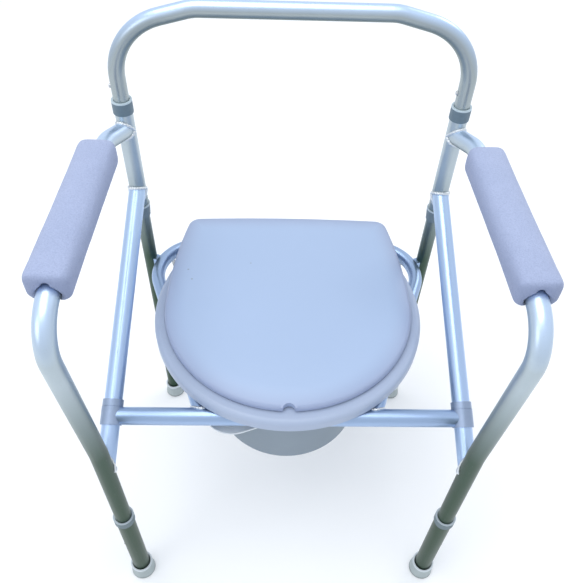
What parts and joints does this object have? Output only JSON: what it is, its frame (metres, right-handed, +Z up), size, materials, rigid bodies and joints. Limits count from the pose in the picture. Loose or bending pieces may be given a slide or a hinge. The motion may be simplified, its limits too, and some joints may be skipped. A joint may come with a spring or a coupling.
{
  "type": "commode chair",
  "caption": "Commode chair with a tube frame, telescopic legs, padded arms, a lift-out backrest, a hinged seat ring and lid, and a pail that slides out on a wire rack.",
  "frame": {"origin": "on the floor, under the middle of the chair's overall width and depth", "axes": "+Z up; -Y is the way the sitter faces; +X is the viewer's right, seen from the front"},
  "size_m": [0.5794, 0.4666, 0.8686],
  "materials": {
    "frame_tube": "clear anodised tube",
    "backrest_tube": "clear anodised tube",
    "button_steel": "polished",
    "pin_steel": "turned",
    "rack_wire": "plated wire",
    "foot_rubber": "moulded, satin",
    "arm_foam": "closed-cell foam with a fine pebbled skin",
    "bumper_rubber": "moulded",
    "collar_plastic": "satin",
    "sleeve_plastic": "clear anodised",
    "seat_plastic": "moulded, semi-gloss",
    "clip_plastic": "moulded",
    "lid_plastic": "moulded, semi-gloss",
    "pail_plastic": "moulded",
    "bail_plastic": "translucent natural polypropylene"
  },
  "bodies": {
    "frame": {"arm_pad_left": "arm_foam", "arm_pad_right": "arm_foam", "backrest_collar_left": "collar_plastic", "backrest_collar_right": "collar_plastic", "bow_lug_left": "frame_tube", "bow_lug_right": "frame_tube", "crossbar_sleeve_left": "sleeve_plastic", "crossbar_sleeve_right": "sleeve_plastic", "front_crossbar": "frame_tube", "pail_rack_left": "rack_wire", "pail_rack_right": "rack_wire", "rear_joint_collar_left": "collar_plastic", "rear_joint_collar_right": "collar_plastic", "rear_leg_left": "frame_tube", "rear_leg_right": "frame_tube", "rear_upright_left": "frame_tube", "rear_upright_right": "frame_tube", "seat_bow": "frame_tube", "side_rail_left": "frame_tube", "side_rail_right": "frame_tube", "side_tube_left": "frame_tube", "side_tube_right": "frame_tube", "sleeve_ring_left": "sleeve_plastic", "sleeve_ring_right": "sleeve_plastic"},
    "leg_front_left": {"leg_extension_front_left": "frame_tube", "leg_collar_front_left": "collar_plastic", "foot_front_left": "foot_rubber"},
    "leg_button_front_left_body": {"leg_button_front_left": "button_steel"},
    "leg_rear_left": {"leg_extension_rear_left": "frame_tube", "leg_collar_rear_left": "collar_plastic", "foot_rear_left": "foot_rubber"},
    "leg_button_rear_left_body": {"leg_button_rear_left": "button_steel"},
    "backrest_button_left_body": {"backrest_button_left": "button_steel"},
    "rear_joint_button_left_body": {"rear_joint_button_left": "button_steel"},
    "leg_front_right": {"leg_extension_front_right": "frame_tube", "leg_collar_front_right": "collar_plastic", "foot_front_right": "foot_rubber"},
    "leg_button_front_right_body": {"leg_button_front_right": "button_steel"},
    "leg_rear_right": {"leg_extension_rear_right": "frame_tube", "leg_collar_rear_right": "collar_plastic", "foot_rear_right": "foot_rubber"},
    "leg_button_rear_right_body": {"leg_button_rear_right": "button_steel"},
    "backrest_button_right_body": {"backrest_button_right": "button_steel"},
    "rear_joint_button_right_body": {"rear_joint_button_right": "button_steel"},
    "backrest_hoop": {"backrest": "backrest_tube"},
    "seat": {"seat_ring": "seat_plastic", "seat_bumpers": "bumper_rubber", "seat_clip_left": "clip_plastic", "seat_clip_right": "clip_plastic", "lid_hinge_pin_left": "pin_steel", "lid_hinge_pin_right": "pin_steel"},
    "lid_flap": {"lid": "lid_plastic", "lid_bumpers": "bumper_rubber"},
    "pail_tub": {"pail": "pail_plastic"},
    "bail": {"pail_bail": "bail_plastic"}
  },
  "joints": [
    {"name": "seat_hinge", "type": "hinge", "parent": "frame", "child": "seat", "pos_m": [0, 0.20883, 0.4147], "axis": [-1, 0, 0], "range_deg": [0, 92]},
    {"name": "lid_hinge", "type": "hinge", "parent": "seat", "child": "lid_flap", "pos_m": [0, 0.22134, 0.443], "axis": [-1, 0, 0], "range_deg": [0, 100]},
    {"name": "pail_slide", "type": "slide", "parent": "frame", "child": "pail_tub", "axis": [0, -1, 0], "range_m": [-0.38, 0]},
    {"name": "bail_hinge", "type": "hinge", "parent": "pail_tub", "child": "bail", "pos_m": [0, -0.00417, 0.3892], "axis": [-0.9397, -0.342, 0], "range_deg": [0, 4]},
    {"name": "backrest_slide", "type": "slide", "parent": "frame", "child": "backrest_hoop", "axis": [0, 0, 1], "range_m": [0, 0.1]},
    {"name": "backrest_button_left_press", "type": "slide", "parent": "backrest_hoop", "child": "backrest_button_left_body", "axis": [1, 0, 0], "range_m": [0, 0.003], "stiffness_N_per_m": 900},
    {"name": "rear_joint_button_left_press", "type": "slide", "parent": "frame", "child": "rear_joint_button_left_body", "axis": [0, -1, 0], "range_m": [0, 0.004], "stiffness_N_per_m": 900},
    {"name": "leg_front_left_telescope", "type": "slide", "parent": "frame", "child": "leg_front_left", "axis": [0, 0, -1], "range_m": [-0.05, 0.075]},
    {"name": "leg_button_front_left_press", "type": "slide", "parent": "leg_front_left", "child": "leg_button_front_left_body", "axis": [1, 0, 0], "range_m": [0, 0.004], "stiffness_N_per_m": 900},
    {"name": "leg_rear_left_telescope", "type": "slide", "parent": "frame", "child": "leg_rear_left", "axis": [0, 0, -1], "range_m": [-0.05, 0.075]},
    {"name": "leg_button_rear_left_press", "type": "slide", "parent": "leg_rear_left", "child": "leg_button_rear_left_body", "axis": [1, 0, 0], "range_m": [0, 0.004], "stiffness_N_per_m": 900},
    {"name": "backrest_button_right_press", "type": "slide", "parent": "backrest_hoop", "child": "backrest_button_right_body", "axis": [1, 0, 0], "range_m": [0, 0.003], "stiffness_N_per_m": 900},
    {"name": "rear_joint_button_right_press", "type": "slide", "parent": "frame", "child": "rear_joint_button_right_body", "axis": [0, -1, 0], "range_m": [0, 0.004], "stiffness_N_per_m": 900},
    {"name": "leg_front_right_telescope", "type": "slide", "parent": "frame", "child": "leg_front_right", "axis": [0, 0, -1], "range_m": [-0.05, 0.075]},
    {"name": "leg_button_front_right_press", "type": "slide", "parent": "leg_front_right", "child": "leg_button_front_right_body", "axis": [-1, 0, 0], "range_m": [0, 0.004], "stiffness_N_per_m": 900},
    {"name": "leg_rear_right_telescope", "type": "slide", "parent": "frame", "child": "leg_rear_right", "axis": [0, 0, -1], "range_m": [-0.05, 0.075]},
    {"name": "leg_button_rear_right_press", "type": "slide", "parent": "leg_rear_right", "child": "leg_button_rear_right_body", "axis": [-1, 0, 0], "range_m": [0, 0.004], "stiffness_N_per_m": 900}
  ]
}
